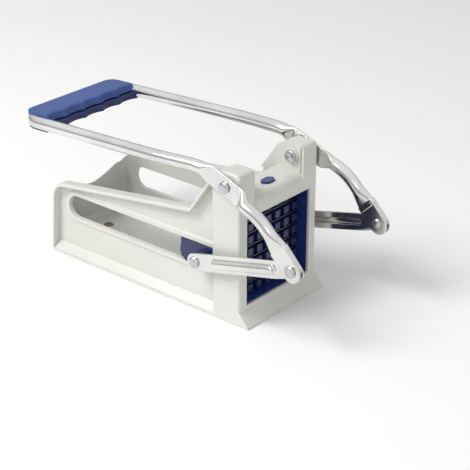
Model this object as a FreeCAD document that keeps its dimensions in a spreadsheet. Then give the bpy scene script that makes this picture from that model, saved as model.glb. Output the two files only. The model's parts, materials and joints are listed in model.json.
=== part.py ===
"""Lever-operated chip cutter: potato trough, cutting head, pusher, blade cassette and U-shaped lever.

Millimetres, +Z up. The origin lies on the table, midway along and across the whole object.
+X points out of the cutting window, so +Y is the object's left side. Sketches are drawn from the
window's front face, and every sub-part is then moved forward by front_x.
"""
import FreeCAD, Part
import math
import os
import re
import Sketcher
from FreeCAD import Vector

SIZES = {
    # Placing
    "front_x": 78.05,
    # Body moulding
    "body_length": 197.0,
    "side_rim": 6.0,
    "wall": 2.5,
    "flange": 2.5,
    "skirt_reach": 8.0,
    "skirt_height": 11.0,
    "skirt_edge": 2.0,
    "floor_top": 12.0,
    "back_lean": 4.5,
    "back_corner": 14.0,
    "rim_back": 60.0,
    "shoulder": 80.0,
    "shoulder_front": 48.5,
    "dip_half": 42.0,
    "dip_over": 2.4,
    "dip_bottom": 44.6,
    # Cutting head
    "head_depth": 25.0,
    "front_wall": 2.0,
    "window_width": 72.0,
    "window_height": 69.0,
    "window_bottom": 14.0,
    "deck_top": 97.5,
    "deck_wall": 2.8,
    "deck_round": 8.0,
    "ear_top": 118.5,
    "ear_width": 16.5,
    "ear_rear": 24.5,
    "ear_chamfer": 8.5,
    "ear_chamfer_drop": 4.0,
    "ear_floor": 92.0,
    "edge_round": 2.0,
    "groove_height": 20.0,
    "groove_width": 1.2,
    "groove_depth": 0.9,
    # Runner slots
    "slot_centre": 43.2,
    "slot_height": 18.6,
    "slot_setback": 18.0,
    "slot_front": 28.0,
    "lip_width": 5.0,
    "lip_rise": 1.2,
    # Lever
    "tube": 9.6,
    "tube_wall": 1.2,
    "bar_behind": 16.0,
    "bar_drop": 9.0,
    "leg_space": 5.5,
    "bar_bend": 16.0,
    "knee_x": 34.0,
    "knee_drop": 0.5,
    "plate_space": 2.5,
    "plate_thick": 2.8,
    "plate_width": 15.0,
    "elbow_x": 24.0,
    "elbow_drop": 23.5,
    "arm_space": 6.3,
    "clevis_thick": 4.8,
    "clevis_gap": 2.7,
    "fold_wall": 1.44,
    "clevis_end": 8.6,
    "clevis_reach": 14.5,
    # Pivots
    "pivot_x": 10.5,
    "pivot_drop": 9.8,
    "pin": 6.0,
    "pin_head": 8.8,
    "pin_dome": 2.4,
    "boss": 11.5,
    "boss_rise": 2.0,
    "inner_head": 9.4,
    "inner_head_thick": 1.6,
    "washer": 12.0,
    "run_clear": 0.05,
    "gap": 0.3,
    # Links
    "front_pivot_x": 52.4,
    "front_pivot_drop": 53.2,
    "rear_pivot_x": 36.6,
    "link_width": 13.6,
    "link_thick": 1.8,
    "link_nose": 11.4,
    "bead": 8.6,
    "bead_wall": 1.4,
    "bead_rear": 18.3,
    "bead_front": 15.3,
    "rivet": 5.0,
    "rivet_play": 0.04,
    # Pusher
    "pusher_face": 16.2,
    "pusher_thick": 4.0,
    "pusher_clear": 1.2,
    "stud": 5.6,
    "stud_length": 7.0,
    "cell_count": 7,
    "carriage_length": 44.0,
    "carriage_wall": 3.0,
    "carriage_clear": 0.8,
    "carriage_low": 22.0,
    "carriage_high": 62.0,
    "runner_rear": 23.3,
    "runner_stand": 5.0,
    "runner_clear": 0.3,
    "boss_small": 12.0,
    # Cassette
    "cassette_front": 2.3,
    "cassette_depth": 17.0,
    "cassette_side": 5.2,
    "cassette_rail": 10.3,
    "cassette_round": 3.0,
    "notch_width": 20.0,
    "notch_depth": 3.5,
    "tab_width": 12.4,
    "tab_depth": 7.0,
    "tab_point": 2.6,
    "tab_top": 99.0,
    "tab_clear": 0.4,
    "foot_notch": 44.0,
    "foot_rise": 4.0,
    "blade": 0.5,
    "blade_depth": 2.7,
    "blade_front": 10.3,
    "blade_seat": 1.5,
    # Grip
    "grip_behind": 3.5,
    "grip_ahead": 26.5,
    "grip_top_ahead": 23.0,
    "grip_corner": 7.0,
    "grip_up": 6.8,
    "grip_down": 6.2,
    "grip_inset": 2.5,
    "grip_lap": 1.0,
    "finger_radius": 10.0,
    "finger_depth": 2.6,
    "fingers": 5,
    "screw": 3.0,
    "screw_head": 5.6,
    "screw_head_height": 2.2,
    "screw_sink": 0.3,
    "screw_spread": 0.62,
    "grip_front_round": 1.5,
    "grip_back_round": 2.5,
    # Suction cups
    "cup_setback": 21.0,
    "cup_front": 80.0,
    "cup": 34.0,
    "cup_lip": 1.2,
    "cup_edge": 1.0,
    "cup_seat": 0.1,
    "stem": 6.0,
    "stem_head": 8.0,
}

# Sizes that follow from the driving ones, so that the parts keep together when one changes.
DERIVED = {
    "trough_half": "(window_width / 2)",
    "body_half": "(trough_half + wall + side_rim)",
    "ear_inner": "(body_half - ear_width)",
    "slot_back": "(body_length - slot_setback)",
    "cup_rear": "(body_length - cup_setback)",
    "cassette_half": "(trough_half + cassette_side)",
    "runner_out": "(trough_half + runner_stand)",
    "plate_half": "(body_half + plate_space)",
    "leg_half": "(body_half + leg_space)",
    "arm_half": "(body_half + arm_space)",
    "pivot_z": "(ear_top - pivot_drop)",
    "knee_z": "(ear_top - knee_drop)",
    "bar_z": "(ear_top - bar_drop)",
    "elbow_z": "(ear_top - elbow_drop)",
    "front_pivot_z": "(ear_top - front_pivot_drop)",
    "bar_x": "(body_length + bar_behind)",
    "grip_back": "(bar_x + grip_behind)",
    "grip_front": "(bar_x - grip_ahead)",
    "grip_top_front": "(bar_x - grip_top_ahead)",
    "grip_top_half": "(leg_half - grip_inset)",
    "grip_low_half": "(leg_half + grip_lap)",
}

SIDES = (("left", 1), ("right", -1))
BEND_STEPS = 8
DIP_POWER = 1.6

doc = FreeCAD.newDocument("chip_cutter")
sheet = doc.addObject("Spreadsheet::Sheet", "Sizes")


def fill_sheet():
    """Put every driving size in its own row under its own alias."""
    for row, (alias, value) in enumerate(SIZES.items(), start=1):
        sheet.set(f"A{row}", alias)
        sheet.set(f"B{row}", str(value))
        sheet.setAlias(f"B{row}", alias)
    doc.recompute()


def formula(text):
    """Write a size formula so that the expression engine finds each alias in the sheet."""
    def name(match):
        word = match.group(0)
        if word in DERIVED:
            return formula(DERIVED[word])
        return f"Sizes.{word}" if word in SIZES else word
    return re.sub(r"[a-z_]+", name, str(text))


def value(text):
    """The present value of a size formula."""
    return float(sheet.evalExpression(formula(text)))


def bind(target, prop, text):
    """Tie one property to a size formula."""
    target.setExpression(prop, formula(text))


def place(target):
    """Move a finished sub-part from window coordinates to the object's frame."""
    target.Placement = FreeCAD.Placement(Vector(value("front_x"), 0, 0), FreeCAD.Rotation())
    bind(target, "Placement.Base.x", "front_x")


def new_body(name):
    body = doc.addObject("PartDesign::Body", name)
    body.Label = name
    place(body)
    return body


def origin_plane(body, role):
    return next(item for item in body.Origin.OriginFeatures if item.Role == role)


def new_sketch(body, name, role, offset):
    """A sketch on one of the body's own planes, moved along the plane's normal by a formula."""
    sketch = body.newObject("Sketcher::SketchObject", name)
    sketch.AttachmentSupport = [(origin_plane(body, role), "")]
    sketch.MapMode = "FlatFace"
    sketch.AttachmentOffset = FreeCAD.Placement(Vector(0, 0, value(offset)), FreeCAD.Rotation())
    bind(sketch, "AttachmentOffset.Base.z", offset)
    return sketch


def fix_point(sketch, edge, end, place_xy):
    """Hold one end of an edge at a place given by two formulas."""
    for kind, text in zip(("DistanceX", "DistanceY"), place_xy):
        index = sketch.addConstraint(Sketcher.Constraint(kind, -1, 1, edge, end, value(text)))
        bind(sketch, f"Constraints[{index}]", text)


def draw_polygon(sketch, corners):
    """A closed outline of straight edges with every corner held by formulas."""
    spots = [Vector(value(x), value(y), 0) for x, y in corners]
    first = sketch.GeometryCount
    count = len(spots)
    for index in range(count):
        sketch.addGeometry(Part.LineSegment(spots[index], spots[(index + 1) % count]), False)
    for index in range(count):
        after = first + (index + 1) % count
        sketch.addConstraint(Sketcher.Constraint("Coincident", first + index, 2, after, 1))
        fix_point(sketch, first + index, 1, corners[index])


def draw_box(sketch, low, high):
    """A rectangle between two opposite corners."""
    draw_polygon(sketch, [(low[0], low[1]), (high[0], low[1]), (high[0], high[1]), (low[0], high[1])])


def draw_circle(sketch, centre, radius):
    """A circle whose centre and radius are formulas."""
    middle = Vector(value(centre[0]), value(centre[1]), 0)
    edge = sketch.addGeometry(Part.Circle(middle, Vector(0, 0, 1), value(radius)), False)
    fix_point(sketch, edge, 3, centre)
    index = sketch.addConstraint(Sketcher.Constraint("Radius", edge, value(radius)))
    bind(sketch, f"Constraints[{index}]", radius)


def add_feature(body, kind, name, sketch, length, reverse=False):
    """Pad or pocket a sketch by a formula."""
    feature = body.newObject(f"PartDesign::{kind}", name)
    feature.Profile = sketch
    feature.Length = value(length)
    bind(feature, "Length", length)
    feature.Reversed = reverse
    return feature


def pad_across(body, name, low, high, draw):
    """Pad a side-view outline from y = low to y = high; the XZ plane's normal is -Y."""
    sketch = new_sketch(body, f"{name}_outline", "XZ_Plane", f"-({high})")
    draw(sketch)
    return add_feature(body, "Pad", name, sketch, f"({high}) - ({low})")


def cut_across(body, name, low, high, draw):
    """Pocket a side-view outline from y = low to y = high."""
    sketch = new_sketch(body, f"{name}_outline", "XZ_Plane", f"-({high})")
    draw(sketch)
    return add_feature(body, "Pocket", name, sketch, f"({high}) - ({low})", reverse=True)


def pad_along(body, name, low, high, draw):
    """Pad an end-view outline from x = low to x = high; the YZ plane's normal is +X."""
    sketch = new_sketch(body, f"{name}_outline", "YZ_Plane", low)
    draw(sketch)
    return add_feature(body, "Pad", name, sketch, f"({high}) - ({low})")


def cut_along(body, name, low, high, draw):
    """Pocket an end-view outline from x = low to x = high."""
    sketch = new_sketch(body, f"{name}_outline", "YZ_Plane", low)
    draw(sketch)
    return add_feature(body, "Pocket", name, sketch, f"({high}) - ({low})", reverse=True)


def lateral(side, inner, outer):
    """The y formulas, low then high, of a stretch that lies between two distances from the middle."""
    if side > 0:
        return inner, outer
    return f"-({outer})", f"-({inner})"


def turned(body, name, sketch_plane, axis, draw, offset="0"):
    """A full revolution of a half outline about one of the sketch's own axes."""
    sketch = new_sketch(body, f"{name}_outline", sketch_plane, offset)
    draw(sketch)
    feature = body.newObject("PartDesign::Revolution", name)
    feature.Profile = sketch
    feature.ReferenceAxis = (sketch, [axis])
    feature.Angle = 360.0
    return feature


def solid_feature(name, shape):
    """A sub-part whose shape comes from Part's own functions, read from the sheet."""
    feature = doc.addObject("Part::Feature", name)
    feature.Label = name
    feature.Shape = shape
    place(feature)
    return feature


def rounded_wire(corners, plane_point):
    """A closed wire through corners (u, v, radius); each radius becomes a tangent arc."""
    count = len(corners)
    starts, ends, edges = [], [], []
    for index, (u, v, radius) in enumerate(corners):
        here = Vector(u, v, 0)
        to_last = (Vector(*corners[index - 1][:2], 0) - here).normalize()
        to_next = (Vector(*corners[(index + 1) % count][:2], 0) - here).normalize()
        if radius <= 0:
            starts.append(here)
            ends.append(here)
            continue
        half = to_last.getAngle(to_next) / 2
        back = radius / math.tan(half)
        middle = here + (to_last + to_next).normalize() * (radius / math.sin(half) - radius)
        starts.append(here + to_last * back)
        ends.append(here + to_next * back)
        arc = [plane_point(spot.x, spot.y) for spot in (starts[-1], middle, ends[-1])]
        edges.append(Part.Arc(*arc).toShape())
    for index in range(count):
        line = (plane_point(*ends[index][:2]), plane_point(*starts[(index + 1) % count][:2]))
        if line[0].distanceToPoint(line[1]) > 1e-6:
            edges.append(Part.LineSegment(*line).toShape())
    return Part.Wire(Part.__sortEdges__(edges))


def side_solid(corners, low, high):
    """A side-view outline carried from y = low to y = high."""
    wire = rounded_wire(corners, lambda u, v: Vector(u, low, v))
    return Part.Face(wire).extrude(Vector(0, high - low, 0))


def end_solid(corners, low, high):
    """An end-view outline carried from x = low to x = high."""
    wire = rounded_wire(corners, lambda u, v: Vector(low, u, v))
    return Part.Face(wire).extrude(Vector(high - low, 0, 0))


def block(x_low, x_high, y_low, y_high, z_low, z_high):
    return Part.makeBox(x_high - x_low, y_high - y_low, z_high - z_low, Vector(x_low, y_low, z_low))


def round_edges(solid, radius, wanted):
    """Fillet the edges whose middle point passes a test."""
    edges = [edge for edge in solid.Edges if wanted(edge.CenterOfMass, edge)]
    return solid.makeFillet(radius, edges)


def body_side_outline():
    """Side view of the moulding: head with its ears, straight sloping rim and leaning back."""
    ear_top = value("ear_top")
    return [
        (0, 0, 0),
        (0, ear_top, 2 * value("edge_round")),
        (value("ear_chamfer") - value("ear_rear"), ear_top, value("edge_round")),
        (-value("ear_rear"), ear_top - value("ear_chamfer_drop"), value("edge_round")),
        (-value("shoulder_front"), value("shoulder"), value("edge_round")),
        (value("back_lean") - value("body_length"), value("rim_back"), value("back_corner")),
        (-value("body_length"), 0, 0),
    ]


def side_recess(outline_face):
    """The shallow panel on each side that the flange frames, down to the flared skirt."""
    inner = Part.Face(outline_face.OuterWire.makeOffset2D(-value("flange")))
    half = value("body_half")
    panel = value("trough_half") + value("wall")
    inset = inner.copy()
    inset.translate(Vector(0, half + 1, 0))
    slab = inset.extrude(Vector(0, -2 * half - 2, 0))
    high = value("ear_top")
    skirt_low = value("skirt_edge")
    skirt_high = skirt_low + half - panel
    cuts = []
    for side in (1, -1):
        corners = [
            (side * panel, skirt_high, 0),
            (side * (half + 1), skirt_low - 1, 0),
            (side * (half + 1), high, 0),
            (side * panel, high, 0),
        ]
        cuts.append(end_solid(corners, -value("body_length"), -value("head_depth")).common(slab))
    return cuts[0].fuse(cuts[1])


def trough_cavity():
    """The potato space, open above, with rounded corners along its floor and at the back."""
    half = value("trough_half")
    back = value("body_length") - value("wall")
    lean = value("back_lean")
    ear_floor = value("ear_floor")
    front = -value("head_depth")
    top = value("ear_top") + 1
    low = side_solid(
        [(front, value("floor_top"), 0), (front, ear_floor, 0),
         (lean - back, ear_floor, 0), (-back, value("floor_top"), 0)], -half, half)
    radius = 2 * value("flange")
    low = round_edges(low, radius, lambda spot, edge: spot.x < front - 1 and spot.z < ear_floor - 1)
    inner = value("ear_inner")
    high = block(-back + lean, front, -inner, inner, ear_floor - 1, 2 * top)
    open_top = block(-back + lean, -value("shoulder_front") - 1, -half, half, ear_floor - 1, top)
    return low.fuse(high).fuse(open_top)


def underside():
    """The hollow below the floor and inside the skirt."""
    wall = value("wall")
    panel = value("trough_half")
    half = value("body_half") - wall
    low = value("skirt_edge")
    top = value("floor_top") - wall
    knee = low + half - panel
    corners = [(-half, -1, 0), (half, -1, 0), (half, low, 0), (panel, min(knee, top), 0)]
    if knee < top:
        corners += [(panel, top, 0), (-panel, top, 0)]
    corners += [(-panel, min(knee, top), 0), (-half, low, 0)]
    return end_solid(corners, wall - value("body_length"), -value("head_depth"))


def front_skirt():
    """The foot that flares out below the window, and the hollow inside it."""
    half = value("body_half")
    reach = value("skirt_reach")
    edge = value("skirt_edge")
    tall = value("skirt_height")
    wall = value("front_wall")
    foot = side_solid([(-wall, 0, 0), (reach, 0, 0), (reach, edge, 0), (0, tall, 0), (-wall, tall, 0)],
                      -half, half)
    inside = side_solid(
        [(-wall - 1, -1, 0), (reach - wall, -1, 0), (reach - wall, edge - 0.5, 0),
         (-wall, tall - 1, 0), (-wall - 1, tall - 1, 0)], wall - half, half - wall)
    return foot, inside


def slot_wire(grow, y):
    """Outline of a runner slot: rounded at the back, square at the head."""
    middle = value("slot_centre")
    radius = value("slot_height") / 2 + grow
    back = -value("slot_back") + value("slot_height") / 2
    front = -value("slot_front") + min(grow, value("slot_front") - value("head_depth"))
    top, low = Vector(back, y, middle + radius), Vector(back, y, middle - radius)
    edges = [
        Part.Arc(top, Vector(back - radius, y, middle), low).toShape(),
        Part.LineSegment(low, Vector(front, y, middle - radius)).toShape(),
        Part.LineSegment(Vector(front, y, middle - radius), Vector(front, y, middle + radius)).toShape(),
        Part.LineSegment(Vector(front, y, middle + radius), top).toShape(),
    ]
    return Part.Wire(edges)


def slot_lip(side):
    """The low bevelled collar that stands round a runner slot."""
    panel = value("trough_half") + value("wall")
    base = slot_wire(value("lip_width"), side * (panel - 0.2))
    crown = slot_wire(value("lip_width") * 0.6, side * (panel + value("lip_rise")))
    return Part.makeLoft([base, crown], True, True)


def slot_cut(side):
    start = side * (value("trough_half") - 1)
    depth = value("wall") + value("lip_rise") + 2
    return Part.Face(slot_wire(0, start)).extrude(Vector(0, side * depth, 0))


def back_dip():
    """The smooth dip in the back wall's top edge: it rises by a power of the distance from the middle."""
    half = value("dip_half")
    low = value("dip_bottom")
    high = value("rim_back") + value("dip_over")
    steps = 8
    spots = []
    for index in range(-steps, steps + 1):
        y = half * index / steps
        z = low + (high - low) * abs(index / steps) ** DIP_POWER
        spots.append(Vector(0, y, z))
    curve = Part.BSplineCurve()
    curve.interpolate(spots)
    roof = high + 2 * value("back_corner")
    left, right = Vector(0, half, roof), Vector(0, -half, roof)
    wire = Part.Wire([
        curve.toShape(),
        Part.LineSegment(spots[-1], left).toShape(),
        Part.LineSegment(left, right).toShape(),
        Part.LineSegment(right, spots[0]).toShape(),
    ])
    face = Part.Face(wire)
    face.translate(Vector(-value("body_length") - 1, 0, 0))
    return face.extrude(Vector(value("back_lean") + 2 * value("wall") + 2, 0, 0))


def head_cuts():
    """Window, tunnel, cassette pocket, space between the ears and hollow ears."""
    window = value("window_width") / 2
    low = value("window_bottom")
    high = low + value("window_height")
    depth = value("head_depth")
    front = value("front_wall")
    pocket_back = value("cassette_front") + value("cassette_depth") + value("gap")
    pocket_half = value("cassette_half") + value("gap")
    pocket_top = value("deck_top") - value("deck_wall")
    inner = value("ear_inner")
    wall = value("wall")
    deck = value("deck_top")
    ear_top = value("ear_top")
    deck_round = value("deck_round")
    cuts = [
        block(-front - 1, 1, -window, window, low, high),
        block(-depth - 1, -pocket_back + 1, -value("trough_half"), value("trough_half"),
              value("floor_top"), high + 1),
        block(-pocket_back, -front, -pocket_half, pocket_half, -1, pocket_top),
        block(-depth - 1, 1, -inner, inner, deck, ear_top + 1),
    ]
    over = side_solid(
        [(1, deck - deck_round, 0), (0, deck - deck_round, 0), (0, deck, deck_round - 0.01),
         (-deck_round, deck, 0), (-deck_round, deck + 1, 0), (1, deck + 1, 0)], -inner, inner)
    cuts.append(over)
    for side in (1, -1):
        low_y, high_y = sorted((side * (inner + wall), side * (value("body_half") - wall)))
        cuts.append(block(-pocket_back, -front, low_y, high_y, pocket_top - 1,
                          ear_top - value("ear_chamfer_drop") - wall))
        groove_y = sorted((side * (inner - 1), side * (inner + value("groove_depth"))))
        cuts.append(block(-front - value("groove_width"), -front, *groove_y,
                          deck - 1, deck - 1 + value("groove_height")))
    tab_clear = value("tab_clear")
    tab_half = value("tab_width") / 2 + tab_clear
    tab_middle = value("cassette_front") + value("cassette_depth") / 2
    tab_deep = value("tab_depth") / 2 + tab_clear
    tab_side = tab_half - value("tab_point")
    near, far = tab_deep - tab_middle, -tab_deep - tab_middle
    hexagon = [(near, -tab_side), (near, tab_side), (-tab_middle, tab_half), (far, tab_side),
               (far, -tab_side), (-tab_middle, -tab_half)]
    corners = [Vector(x, y, pocket_top - 1) for x, y in hexagon]
    outline = Part.makePolygon(corners + corners[:1])
    cuts.append(Part.Face(outline).extrude(Vector(0, 0, value("deck_wall") + 2)))
    return cuts


def pivot_boss(side):
    """The sleeve that carries the lever's pin across a hollow ear."""
    inner = value("ear_inner") - value("boss_rise")
    outer = value("body_half")
    axis = Vector(0, side, 0)
    start = Vector(-value("pivot_x"), side * inner, value("pivot_z"))
    sleeve = Part.makeCylinder(value("boss") / 2, outer - inner, start, axis)
    bore = Part.makeCylinder(value("pin") / 2 + value("run_clear"), outer - inner + 2, start - axis, axis)
    return sleeve, bore


def make_body_moulding():
    """One moulding: trough, flanged side panels, runner slots, cutting head and its two ears."""
    half = value("body_half")
    wire = rounded_wire(body_side_outline(), lambda u, v: Vector(u, 0, v))
    face = Part.Face(wire)
    start = face.copy()
    start.translate(Vector(0, -half, 0))
    solid = start.extrude(Vector(0, 2 * half, 0))
    foot, foot_hollow = front_skirt()
    tall = value("skirt_height")
    near = value("run_clear")
    solid = round_edges(solid, value("edge_round"), lambda spot, edge:
                        abs(spot.x) < near and abs(abs(spot.y) - half) < near and edge.Length > tall)
    solid = solid.cut(side_recess(face))
    solid = solid.fuse(foot)
    for side in (1, -1):
        solid = solid.fuse(slot_lip(side))
    solid = solid.cut(trough_cavity())
    solid = solid.cut(underside())
    solid = solid.cut(foot_hollow)
    solid = solid.cut(back_dip())
    for cut in head_cuts():
        solid = solid.cut(cut)
    for side in (1, -1):
        solid = solid.cut(slot_cut(side))
        sleeve, bore = pivot_boss(side)
        solid = solid.fuse(sleeve)
        solid = solid.cut(bore)
    for name in ("cup_rear", "cup_front"):
        hole = Part.makeCylinder(value("stem") / 2 + value("run_clear"), value("floor_top") + 2,
                                 Vector(-value(name), 0, -1))
        solid = solid.cut(hole)
    return solid_feature("body_moulding", solid.removeSplitter())


def make_suction_cup(name, place_size):
    """A rubber cup under the floor; its stem passes the floor and ends in a button."""
    body = new_body(name)
    ceiling = "floor_top - wall"
    sketch_points = [
        ("0", f"{ceiling} - 3"), ("cup / 2 - 4", "cup_lip + 2.5"), ("cup / 2 - cup_edge", "cup_seat"),
        ("cup / 2", "cup_seat"), ("cup / 2", "cup_lip + cup_seat"), ("cup / 2 - 3", f"{ceiling} - 2"),
        ("stem_head / 2", f"{ceiling} - run_clear"), ("stem / 2", f"{ceiling} - run_clear"),
        ("stem / 2", "floor_top + run_clear"), ("stem_head / 2", "floor_top + run_clear"),
        ("stem_head / 2 - 1", "floor_top + 0.9"), ("0", "floor_top + 1.1"),
    ]
    turned(body, "cup", "XZ_Plane", "V_Axis", lambda sketch: draw_polygon(sketch, sketch_points))
    body.Placement = FreeCAD.Placement(Vector(value(f"front_x - {place_size}"), 0, 0), FreeCAD.Rotation())
    bind(body, "Placement.Base.x", f"front_x - {place_size}")
    return body


def lever_stations():
    """Cross-sections of the lever's left half, from the front end to the middle of the crossbar.

    Each is (place, direction, width, thickness, squareness): width lies in the lever's side view,
    thickness across it.
    """
    tube = value("tube")
    flat = value("plate_width")
    plate = value("plate_thick")
    clevis = value("clevis_thick")
    knee = (-value("knee_x"), value("knee_z"))
    elbow = (value("elbow_x"), value("elbow_z"))
    tip = (value("front_pivot_x"), value("front_pivot_z"))
    bar = (-value("bar_x"), value("bar_z"))

    def between(start, end, share):
        return tuple(a + (b - a) * share for a, b in zip(start, end))

    def heading(start, end):
        step = (end[0] - start[0], end[1] - start[1])
        length = math.hypot(*step)
        return (step[0] / length, step[1] / length), length

    arm, arm_length = heading(tip, elbow)
    fore, fore_length = heading(elbow, knee)
    leg, leg_length = heading(knee, bar)
    arm_y, plate_y, leg_y = value("arm_half"), value("plate_half"), value("leg_half")
    end = (tip[0] - arm[0] * value("clevis_end"), tip[1] - arm[1] * value("clevis_end"))
    rows = []

    def add(spot, y, way, wide, thick, square):
        rows.append((Vector(spot[0], y, spot[1]), Vector(way[0], 0, way[1]), wide, thick, square))

    def joined(first, second):
        mean = (first[0] + second[0], first[1] + second[1])
        length = math.hypot(*mean)
        return mean[0] / length, mean[1] / length

    reach = value("clevis_reach")
    add(end, arm_y, arm, flat * 0.62, clevis, 3.0)
    add(between(end, tip, 0.25), arm_y, arm, flat * 0.88, clevis, 4.0)
    add(between(end, tip, 0.6), arm_y, arm, flat, clevis, 6.0)
    add(tip, arm_y, arm, flat, clevis, 6.0)
    add((tip[0] + arm[0] * reach, tip[1] + arm[1] * reach), arm_y, arm, flat, clevis, 6.0)
    add(between(tip, elbow, 1 - 11 / arm_length), arm_y, arm, tube * 1.12, tube * 0.9, 2.4)
    add(between(tip, elbow, 1 - 6 / arm_length), arm_y, arm, tube, tube, 2.0)
    add(between(tip, elbow, 1 - 2 / arm_length), arm_y, joined(arm, joined(arm, fore)), tube, tube, 2.0)
    add(between(elbow, knee, 2 / fore_length), arm_y, joined(fore, joined(arm, fore)), tube, tube, 2.0)
    add(between(elbow, knee, 6 / fore_length), arm_y, fore, tube, tube, 2.0)
    add(between(elbow, knee, 14 / fore_length), arm_y, fore, tube * 1.04, tube, 2.0)
    add(between(elbow, knee, 19 / fore_length), (arm_y * 2 + plate_y) / 3, fore, tube * 1.3, tube * 0.7, 2.6)
    add(between(elbow, knee, 23 / fore_length), plate_y, fore, flat, plate, 6.0)
    add(between(elbow, knee, 1 - 9 / fore_length), plate_y, fore, flat, plate, 6.0)
    add(between(elbow, knee, 1 - 4 / fore_length), plate_y + 0.5, fore, tube * 1.3, tube * 0.62, 3.0)
    add(knee, plate_y + 1, joined(fore, leg), tube * 1.12, tube * 0.88, 2.4)
    add(between(knee, bar, 5 / leg_length), plate_y + 1.2, leg, tube, tube, 2.0)
    bend = value("bar_bend")
    start = between(knee, bar, 1 - bend / leg_length)
    add(start, leg_y, leg, tube, tube, 2.0)
    for index in range(1, BEND_STEPS + 1):
        angle = math.pi / 2 * index / BEND_STEPS
        out = bend * math.sin(angle)
        spot = Vector(start[0] + leg[0] * out, leg_y - bend * (1 - math.cos(angle)), start[1] + leg[1] * out)
        way = Vector(leg[0] * math.cos(angle), -math.sin(angle), leg[1] * math.cos(angle))
        rows.append((spot, way, tube, tube, 2.0))
    return rows


def lever_section(station, side, shrink):
    """One closed cross-section: a superellipse across the path at a station."""
    spot, way, wide, thick, square = station
    spot = Vector(spot.x, side * spot.y, spot.z)
    way = Vector(way.x, side * way.y, way.z)
    across = Vector(-value("bar_x") + value("knee_x"), 0, value("bar_z") - value("knee_z")).normalize()
    flat_way = Vector(way.x, 0, way.z) if abs(way.y) < 0.5 else across
    up = Vector(flat_way.z, 0, -flat_way.x).normalize()
    up = up if up.z > 0 else up * -1
    sideways = up.cross(way).normalize() * side
    half_wide = wide / 2 - shrink
    half_thick = max(thick / 2 - shrink, 0.2)
    count = 24
    points = []
    for index in range(count):
        angle = 2 * math.pi * index / count
        c, s = math.cos(angle), math.sin(angle)
        u = math.copysign(abs(c) ** (2 / square), c) * half_wide
        v = math.copysign(abs(s) ** (2 / square), s) * half_thick
        points.append(spot + up * u + sideways * v)
    curve = Part.BSplineCurve()
    curve.interpolate(points, PeriodicFlag=True)
    return Part.Wire(curve.toShape())


def lever_loft(rows, shrink):
    """The U as one ruled skin through the given cross-sections and their mirror images."""
    left = [lever_section(row, 1, shrink) for row in rows]
    right = [lever_section(row, -1, shrink) for row in rows]
    return Part.makeLoft(left + right[::-1], True, True)


def lever_hollow():
    """The bore of the tube, run out past both front ends."""
    rows = lever_stations()
    spot, way, wide, thick, square = rows[0]
    rows[0] = (spot - way, way, wide, thick, square)
    return lever_loft(rows, value("tube_wall"))


def grip_channel(clearance):
    """The space the crossbar and its two bends take out of the grip."""
    rows = lever_stations()[-1 - BEND_STEPS:]
    spot, way, wide, thick, square = rows[0]
    rows.insert(0, (spot - way * value("bar_bend"), way, wide, thick, square))
    return lever_loft(rows, -clearance)


def make_lever_tube():
    """A steel tube bent to a U, pressed flat at the pivots and into a clevis at each front end."""
    solid = lever_loft(lever_stations(), 0).cut(lever_hollow())
    tip = Vector(value("front_pivot_x"), 0, value("front_pivot_z"))
    arm = Vector(value("elbow_x"), 0, value("elbow_z")) - tip
    turn = -math.degrees(math.atan2(arm.z, arm.x))
    keep = value("plate_width") / 2 - value("fold_wall")
    across = Vector(0, 1, 0)
    for side in (1, -1):
        middle = side * value("arm_half")
        low, high = middle - value("clevis_gap") / 2, middle + value("clevis_gap") / 2
        slit = block(-value("clevis_end") - 2, value("clevis_reach"), low, high,
                     -keep, value("plate_width"))
        slit.rotate(Vector(0, 0, 0), Vector(0, 1, 0), turn)
        slit.translate(tip)
        solid = solid.cut(slit)
        reach = value("clevis_thick")
        rivet_foot = Vector(tip.x, middle - reach, tip.z)
        rivet = Part.makeCylinder(value("rivet") / 2, 2 * reach, rivet_foot, across)
        plate_y = side * value("plate_half") - reach
        pin = Part.makeCylinder(value("pin") / 2 + value("run_clear"), 2 * reach,
                                Vector(-value("pivot_x"), plate_y, value("pivot_z")), across)
        solid = solid.cut(rivet).cut(pin)
    return solid_feature("lever_tube", solid)


def make_pivot_pin(side_name, side):
    """A stepped pin: domed head outside the lever plate, broad head inside the ear."""
    body = new_body(f"pivot_pin_{side_name}")
    shank_in = "ear_inner - boss_rise - inner_head_thick"
    head_out = "plate_half + plate_thick / 2 + gap"
    corners = [
        ("0", shank_in), ("inner_head / 2", shank_in), ("inner_head / 2", "ear_inner - boss_rise - run_clear"),
        ("pin / 2", "ear_inner - boss_rise - run_clear"), ("pin / 2", head_out),
        ("pin_head / 2", head_out), ("pin_head / 2 - 0.6", f"{head_out} + pin_dome * 0.6"),
        ("pin_head / 4", f"{head_out} + pin_dome"), ("0", f"{head_out} + pin_dome * 1.1"),
    ]
    turned(body, "pin", "XY_Plane", "V_Axis",
           lambda sketch: draw_polygon(sketch, [(x, f"{side} * ({y})") for x, y in corners]))
    move(body, "-pivot_x", "pivot_z")
    return body


def move(body, x, z):
    """Put a sub-part that is drawn about its own axis at a place in the side view."""
    body.Placement = FreeCAD.Placement(Vector(value(f"front_x + {x}"), 0, value(z)), FreeCAD.Rotation())
    bind(body, "Placement.Base.x", f"front_x + ({x})")
    bind(body, "Placement.Base.z", z)


def make_ring(name, side, hole, outside, inner, outer, x, z):
    """A flat ring about the Y direction between two distances from the middle."""
    body = new_body(name)
    low, high = lateral(side, inner, outer)

    def draw(sketch):
        draw_circle(sketch, ("0", "0"), outside)
        draw_circle(sketch, ("0", "0"), hole)

    pad_across(body, "ring", low, high, draw)
    move(body, x, z)
    return body


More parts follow.
